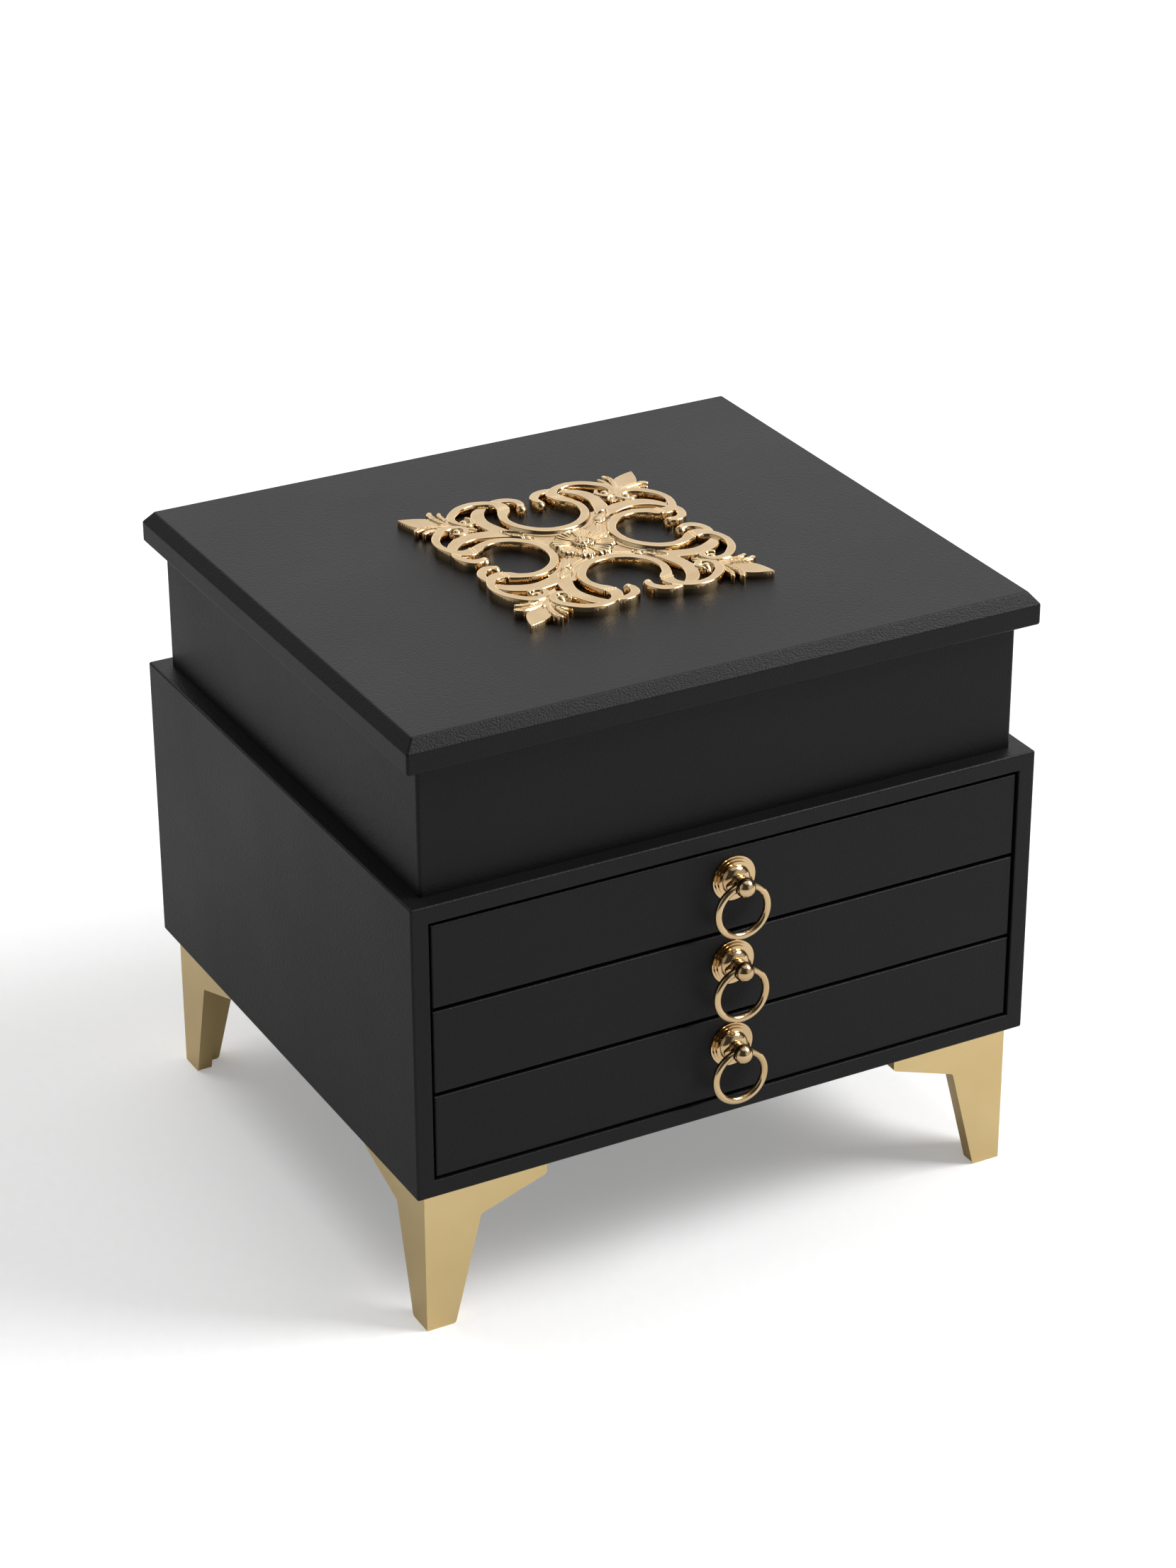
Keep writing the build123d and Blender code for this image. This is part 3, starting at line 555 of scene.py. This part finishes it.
def plateOfOrnament(u, v, inside, height):
    # the centre plate between the four eyes
    shape, cove, groove = plateShape, plateShape["cove"], plateShape["groove"]
    toEye = np.minimum(np.hypot(u, v - shape["eyeCentre"]), np.hypot(u - shape["eyeCentre"], v))
    fromRim = toEye - shape["eyeRadius"]
    plate = np.minimum(fromRim, shape["half"] - np.maximum(u, v))
    hollow = np.sin(np.clip((fromRim - cove["from"]) / cove["width"], 0, 1) * math.pi)
    line = np.exp(-((fromRim - groove["from"]) / groove["half"]) ** 2)
    level = ornament["plate"] + shape["rise"] - cove["depth"] * hollow - groove["depth"] * line
    inside[:] = np.maximum(inside, plate)
    height[:] = np.maximum(height, np.where(plate > -1, level, 0))


# Flat leaf at the corner, and the fluted foot that it grows from, in mm on the diagonal
leafShape = {
    "blade": {"base": (42.0, 42.0), "tip": (60.3, 60.3), "half": 5.5, "fullness": 0.5},
    "foot": {"base": (34.0, 34.0), "tip": (47.0, 47.0), "half": 4.6, "fullness": 0.55},
    "footRise": 0.5,
    "fluteDepth": 0.35, "fluteTurn": 2.4,   # mm, and radians of a flute's wave for each mm
}


def leafOfOrnament(u, v, inside, height):
    shoulder = ornament["shoulder"]
    blade = insideLeaf(leafShape["blade"], u, v)[0]
    inside[:] = np.maximum(inside, blade)
    height[:] = np.maximum(height, rolled(blade, ornament["leaf"], shoulder))
    foot, across = insideLeaf(leafShape["foot"], u, v)
    flutes = leafShape["fluteDepth"] * np.cos(across * leafShape["fluteTurn"])
    inside[:] = np.maximum(inside, foot)
    top = rolled(foot, ornament["leaf"] + leafShape["footRise"], shoulder)
    height[:] = np.maximum(height, top + flutes * (foot > 0))


# Outlined oval of beads on each arm of the plate, from start to end along the diagonal, in mm
ovalShape = {
    "start": 15.4, "end": 27.0, "half": 2.3, "bluntness": 2.6,
    "line": {"rise": 0.5, "half": 0.32}, "sinkFrom": 0.4, "sink": 0.35,
    "beadRadii": (1.35, 0.95, 0.85, 0.8, 0.75, 0.65), "firstBead": 2.2, "beadPitch": 1.62,
    "beadSway": 0.25, "beadSeat": 0.35, "beadRise": 0.9,
}


def ovalOfOrnament(u, v, height):
    shape, rim = ovalShape, ovalShape["line"]
    length = (shape["end"] - shape["start"]) * math.sqrt(2)
    along = (u + v) / math.sqrt(2) - shape["start"] * math.sqrt(2)
    across = np.abs(u - v) / math.sqrt(2)
    t = np.clip(along / length, 0, 1)
    oval = shape["half"] * (1 - np.abs(2 * t - 1) ** shape["bluntness"]) - across
    inOval = (along > 0) & (along < length)
    line = np.where(inOval, rim["rise"] * np.exp(-(oval / rim["half"]) ** 2), 0)
    sunk = np.where(inOval & (oval > shape["sinkFrom"]), -shape["sink"], 0)
    height += line + sunk
    for i, radius in enumerate(shape["beadRadii"]):
        centre = shape["start"] + shape["firstBead"] + i * shape["beadPitch"]
        sway = shape["beadSway"] * (i % 2)
        away = np.hypot(u - centre - sway, v - centre + sway)
        seat = ornament["plate"] + shape["beadSeat"]
        raiseBead(height, away, radius, seat, shape["beadRise"])


# Rosette of fluted petals that dip at their tips, with a knurled collar and a button of seven
# beads, in true mm
rosetteShape = {
    "petals": 8, "radius": 14.6, "notch": 2.3, "roundness": 0.55,
    "middle": 4.2, "lift": 1.0,          # height at the middle, and how much the petals rise
    "flutes": 4, "fluteDepth": 0.34, "fluteStart": 3.5, "fluteRun": 7.0,   # in each petal
    "creaseDepth": 0.6, "creaseWidth": 1.3, "dipDepth": 1.5, "dipWidth": 1.5,
    "collar": {"distance": 4.3, "half": 0.8, "level": 4.9, "rise": 0.7},
    "knurls": 20, "knurlDepth": 0.2,
    "button": {"radius": 3.4, "level": 5.0, "rise": 0.9},
    "bead": {"radius": 0.95, "level": 5.5, "rise": 0.85}, "beadRing": 2.0, "beadCount": 6,
}


def rosetteOfOrnament(x, y, height):
    shape, ring, button, bead = (rosetteShape, rosetteShape["collar"], rosetteShape["button"],
                                 rosetteShape["bead"])
    distance, angle = np.hypot(x, y), np.arctan2(y, x)
    phase = (angle / (2 * math.pi / shape["petals"])) % 1
    lobe = np.abs(np.sin(phase * math.pi))
    edge = shape["radius"] - shape["notch"] * (1 - lobe ** shape["roundness"])
    inPetal = edge - distance
    dish = shape["middle"] + shape["lift"] * np.clip(distance / shape["radius"], 0, 1) ** 1.5
    outwards = np.clip((distance - shape["fluteStart"]) / shape["fluteRun"], 0, 1)
    wave = np.cos((2 * phase * shape["flutes"] + 1) * math.pi)
    crease = np.maximum(0, 1 - lobe * distance / shape["creaseWidth"])
    dip = np.maximum(0, 1 - inPetal / shape["dipWidth"]) ** 1.6
    raiseTo(height, inPetal, dish + shape["fluteDepth"] * wave * outwards
            - shape["creaseDepth"] * crease - shape["dipDepth"] * dip)
    collar = ring["half"] - np.abs(distance - ring["distance"])
    knurl = shape["knurlDepth"] * np.cos(angle * shape["knurls"])
    bulge = ring["rise"] * np.sqrt(np.clip(collar / ring["half"], 0, 1))
    raiseTo(height, collar, ring["level"] + bulge + knurl)
    raiseBead(height, distance, button["radius"], button["level"], button["rise"])
    raiseBead(height, distance, bead["radius"], bead["level"], bead["rise"])
    for turn in np.arange(shape["beadCount"]) * 2 * math.pi / shape["beadCount"]:
        away = np.hypot(x - shape["beadRing"] * math.cos(turn),
                        y - shape["beadRing"] * math.sin(turn))
        raiseBead(height, away, bead["radius"], bead["level"], bead["rise"])


def ornamentField(halfWidth, halfDepth):
    # depth inside the outline and height above the lid, over the quarter with x and y above 0
    cell = ornament["cell"]
    xs = np.arange(0, halfWidth + cell, cell)
    ys = np.arange(0, halfDepth + cell, cell)
    x, y = np.meshgrid(xs, ys, indexing="ij")
    u, v = x * ornament["reach"] / halfWidth, y * ornament["reach"] / halfDepth
    inside = np.full(x.shape, -99.0)
    height = np.zeros(x.shape)
    plateOfOrnament(u, v, inside, height)
    leafOfOrnament(u, v, inside, height)
    eighthOfOrnament(u, v, inside, height)
    eighthOfOrnament(v, u, inside, height)
    ovalOfOrnament(u, v, height)
    rosetteOfOrnament(x, y, height)
    return xs, ys, inside, height


def ornamentMesh(low, high):
    # marching squares over the quarter, then walls, a base and the three mirror images
    centre = (low + high) / 2
    xs, ys, inside, height = ornamentField((high.x - low.x) / 2 / mm, (high.y - low.y) / 2 / mm)
    height = np.clip(height, ornament["lowest"], (high.z - low.z) / mm)
    shape = bmesh.new()
    corners, crossings = {}, {}

    def corner(i, j):
        if (i, j) not in corners:
            corners[i, j] = shape.verts.new((xs[i], ys[j], height[i, j]))
        return corners[i, j]

    def crossing(a, b):
        key = (min(a, b), max(a, b))
        if key not in crossings:
            (i, j), (k, l) = key
            t = inside[i, j] / (inside[i, j] - inside[k, l])
            point = [p + t * (q - p) for p, q in ((xs[i], xs[k]), (ys[j], ys[l]))]
            level = height[i, j] + t * (height[k, l] - height[i, j])
            crossings[key] = shape.verts.new((point[0], point[1], level))
        return crossings[key]

    for i in range(len(xs) - 1):
        for j in range(len(ys) - 1):
            ring = [(i, j), (i + 1, j), (i + 1, j + 1), (i, j + 1)]
            within = [inside[c] > 0 for c in ring]
            if not any(within):
                continue
            if all(within):
                shape.faces.new([corner(*c) for c in ring])
                continue
            outline = []
            for a, b, aIn, bIn in zip(ring, ring[1:] + ring[:1], within, within[1:] + within[:1]):
                if aIn:
                    outline.append(corner(*a))
                if aIn != bIn:
                    outline.append(crossing(a, b))
            if len(outline) > 2:
                shape.faces.new(outline)
    bmesh.ops.remove_doubles(shape, verts=shape.verts, dist=ornament["weld"])
    quarter = bpy.data.meshes.new("quarter")
    shape.to_mesh(quarter)
    shape.free()
    shape = bmesh.new()
    for flip in ((1, 1, 1), (-1, 1, 1), (1, -1, 1), (-1, -1, 1)):
        start = len(shape.verts)
        shape.from_mesh(quarter)
        shape.verts.ensure_lookup_table()
        for point in shape.verts[start:]:
            point.co = Vector(a * b for a, b in zip(point.co, flip))
    bpy.data.meshes.remove(quarter)
    seam = [p for p in shape.verts if abs(p.co.x) < 1e-5 or abs(p.co.y) < 1e-5]
    bmesh.ops.remove_doubles(shape, verts=seam, dist=1e-4)
    bmesh.ops.recalc_face_normals(shape, faces=shape.faces)
    rim = [e for e in shape.edges if e.is_boundary]
    made = bmesh.ops.extrude_edge_only(shape, edges=rim)["geom"]
    for point in made:
        if isinstance(point, bmesh.types.BMVert):
            point.co.z = 0
    base = [e for e in made if isinstance(e, bmesh.types.BMEdge) and e.is_boundary]
    points = list(dict.fromkeys(point for edge in base for point in edge.verts))
    number = {point: i for i, point in enumerate(points)}
    withinOutline, closeness = 1, 1e-9
    filled = geometry.delaunay_2d_cdt([point.co.xy for point in points],
                                      [[number[point] for point in edge.verts] for edge in base],
                                      [], withinOutline, closeness)
    # a base triangle belongs to the casting where there is surface above it, and else to a hole
    surface = BVHTree.FromBMesh(shape)
    for triangle in filled[2]:
        tips = [points[filled[3][i][0]] for i in triangle]
        below = sum((tip.co for tip in tips), Vector()) / 3 - Vector((0, 0, 1))
        if surface.ray_cast(below, Vector((0, 0, 1)))[0]:
            shape.faces.new(tips)
    for point in shape.verts:
        point.co = Vector((centre.x, centre.y, low.z)) + point.co * mm
    return smoothMesh(shape, "lidOrnament", ornament["crease"])


ornamentLow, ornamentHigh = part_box("lid_ornament")
ornamentPiece = addPiece("castLidOrnament", ornamentMesh(ornamentLow, ornamentHigh), "lid",
                         "polished_gold", "lid_ornament")
print("ornament made with", len(ornamentPiece.data.polygons), "faces")


# Floor, light and camera

def makeStudioFloor(look):
    # seamless paper: it glows white to the eye, and a little in reflections, and keeps the box's
    # soft shadow
    material, tree, place = startMaterial("paperSweep")
    rays = addNode(tree, "ShaderNodeLightPath")
    mirrored = addNode(tree, "ShaderNodeMath", {"operation": "MAXIMUM"},
                       {0: rays.outputs["Is Glossy Ray"], 1: rays.outputs["Is Transmission Ray"]})
    mirrored = addNode(tree, "ShaderNodeMath", {"operation": "MULTIPLY"},
                       {0: mirrored.outputs["Value"]})
    mirrored.inputs[1].default_value = look["mirroredLift"]
    away = addNode(tree, "ShaderNodeVectorMath", {"operation": "LENGTH"}, {0: place})
    nearOrFar = addNode(tree, "ShaderNodeMapRange",
                        {"interpolation_type": "SMOOTHSTEP", "From Min": look["near"],
                         "From Max": look["far"], "To Min": look["lift"], "To Max": 1.0},
                        {"Value": away.outputs["Value"]})
    lift = addNode(tree, "ShaderNodeMath", {"operation": "MULTIPLY_ADD"},
                   {0: rays.outputs["Is Camera Ray"], 1: nearOrFar.outputs["Result"],
                    2: mirrored.outputs["Value"]})
    fibre = addNode(tree, "ShaderNodeTexNoise",
                    {"Scale": perMetre(look["fibre"]), "Detail": 2.0}, {"Vector": place})
    colour = addRamp(tree, fibre.outputs["Fac"], 0.3, 0.7, look["dark"], look["light"])
    paper = addNode(tree, "ShaderNodeBsdfDiffuse", links={"Color": colour})
    glow = addNode(tree, "ShaderNodeEmission", links={"Strength": lift.outputs["Value"]})
    both = addNode(tree, "ShaderNodeAddShader",
                   links={0: paper.outputs["BSDF"], 1: glow.outputs["Emission"]})
    addNode(tree, "ShaderNodeOutputMaterial", links={"Surface": both.outputs["Shader"]})
    return material


# Beyond the lamps' reach, from near to far in metres, the paper's own glow takes over
floorLook = {"size": 14.0, "lift": 0.28, "mirroredLift": 0.05, "near": 0.6, "far": 1.6,
             "fibre": 4.0, "dark": "#e4e4e4", "light": "#eaeaea"}
bpy.ops.mesh.primitive_plane_add(size=floorLook["size"], location=(0, 0, 0))
floor = bpy.context.object
floor.name = "studioFloor"
floor.data.materials.append(makeStudioFloor(floorLook))

# The sky is an even grey for diffuse light. In the gold's mirror it is a dark room with white
# panels: where each stands, the half angles of its core and of its soft rim in degrees, and its
# strength. The seam takes light away from the middle of the back panel, where the ornament's flats
# look, so that they stay gold beside their bright edges.
skyLook = {"ambient": 0.26, "room": 0.06}
skyPanels = {
    "backRight": {"towards": (0.42, 0.79, 0.45), "core": 22, "rim": 58, "strength": 1.50},
    "dimSeam": {"towards": (0.42, 0.79, 0.45), "core": 7, "rim": 22, "strength": -0.38},
    "overhead": {"towards": (0.30, -0.02, 0.95), "core": 14, "rim": 46, "strength": 0.95},
    "leftLow": {"towards": (-0.85, 0.25, 0.30), "core": 14, "rim": 46, "strength": 0.60},
    "frontRightLow": {"towards": (0.60, -0.75, 0.22), "core": 14, "rim": 44, "strength": 0.70},
}


def makeStudioSky(look, panels):
    world = bpy.data.worlds.new("studioSky")
    world.use_nodes = True
    tree = world.node_tree
    tree.nodes.clear()
    direction = addNode(tree, "ShaderNodeTexCoord").outputs["Generated"]
    rays = addNode(tree, "ShaderNodeLightPath")
    seen = addNode(tree, "ShaderNodeValue")
    seen.outputs[0].default_value = look["room"]
    total = seen.outputs[0]
    for panel in panels.values():
        facing = addNode(tree, "ShaderNodeVectorMath", {"operation": "DOT_PRODUCT"},
                         {0: direction})
        facing.inputs[1].default_value = Vector(panel["towards"]).normalized()
        shine = addNode(tree, "ShaderNodeMapRange",
                        {"interpolation_type": "SMOOTHSTEP",
                         "From Min": math.cos(math.radians(panel["rim"])),
                         "From Max": math.cos(math.radians(panel["core"])),
                         "To Max": panel["strength"]},
                        {"Value": facing.outputs["Value"]})
        total = addNode(tree, "ShaderNodeMath", {"operation": "ADD"},
                        {0: total, 1: shine.outputs["Result"]}).outputs["Value"]
    mirrored = addNode(tree, "ShaderNodeMath", {"operation": "MAXIMUM"},
                       {0: rays.outputs["Is Glossy Ray"], 1: rays.outputs["Is Transmission Ray"]})
    level = addNode(tree, "ShaderNodeMapRange", {"To Min": look["ambient"]},
                    {"Value": mirrored.outputs["Value"], "To Max": total})
    brightest = addNode(tree, "ShaderNodeMath", {"operation": "MAXIMUM"},
                        {0: level.outputs["Result"], 1: rays.outputs["Is Camera Ray"]})
    sky = addNode(tree, "ShaderNodeBackground", {"Color": (1, 1, 1, 1)},
                  {"Strength": brightest.outputs["Value"]})
    addNode(tree, "ShaderNodeOutputWorld", links={"Surface": sky.outputs["Background"]})
    return world


bpy.context.scene.world = makeStudioSky(skyLook, skyPanels)

# Softboxes: place and aim in metres, size in metres, power in watts, and whether the gold mirrors
# it (the overhead panel stands in for the upper one, which would bleach the ornament from above)
softboxes = {
    "keySoftbox": {"place": (2.0, -1.1, 2.4), "aim": (0, 0, 0.15), "size": 1.5, "power": 100,
                   "mirrored": True},
    "topSoftbox": {"place": (-0.3, 0.6, 2.6), "aim": (0, 0, 0.2), "size": 1.6, "power": 30,
                   "mirrored": False},
}
for name, box in softboxes.items():
    lamp = bpy.data.lights.new(name, "AREA")
    lamp.shape = "SQUARE"
    lamp.size = box["size"]
    lamp.energy = box["power"]
    holder = bpy.data.objects.new(name, lamp)
    holder.location = box["place"]
    toAim = Vector(box["aim"]) - Vector(box["place"])
    holder.rotation_euler = toAim.to_track_quat("-Z", "Y").to_euler()
    holder.visible_glossy = box["mirrored"]
    bpy.context.scene.collection.objects.link(holder)

# The photograph's camera, from the middle of the cabinet's depth. In degrees: turned from +Y
# towards +X, tipped down, and rolled
cameraView = {"place": (-0.752338, -1.401781, 0.974946), "heading": 28.319, "down": 26.898,
              "roll": -0.2185, "lens": 91.893, "sensor": 36.0}
lens = bpy.data.cameras.new("photoCamera")
lens.lens = cameraView["lens"]
lens.sensor_width = cameraView["sensor"]
camera = bpy.data.objects.new("photoCamera", lens)
turn = Matrix.Rotation(math.radians(-cameraView["heading"]), 4, "Z")
tip = Matrix.Rotation(math.radians(90 - cameraView["down"]), 4, "X")
roll = Matrix.Rotation(math.radians(cameraView["roll"]), 4, "Z")
sideLow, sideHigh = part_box("cabinet_left_side")
fromCabinet = Matrix.Translation((0, (sideLow.y + sideHigh.y) / 2, 0))
camera.matrix_world = fromCabinet @ Matrix.Translation(cameraView["place"]) @ turn @ tip @ roll
bpy.context.scene.collection.objects.link(camera)
bpy.context.scene.camera = camera
bpy.context.scene.view_settings.view_transform = "Standard"
print("floor, light and camera set")
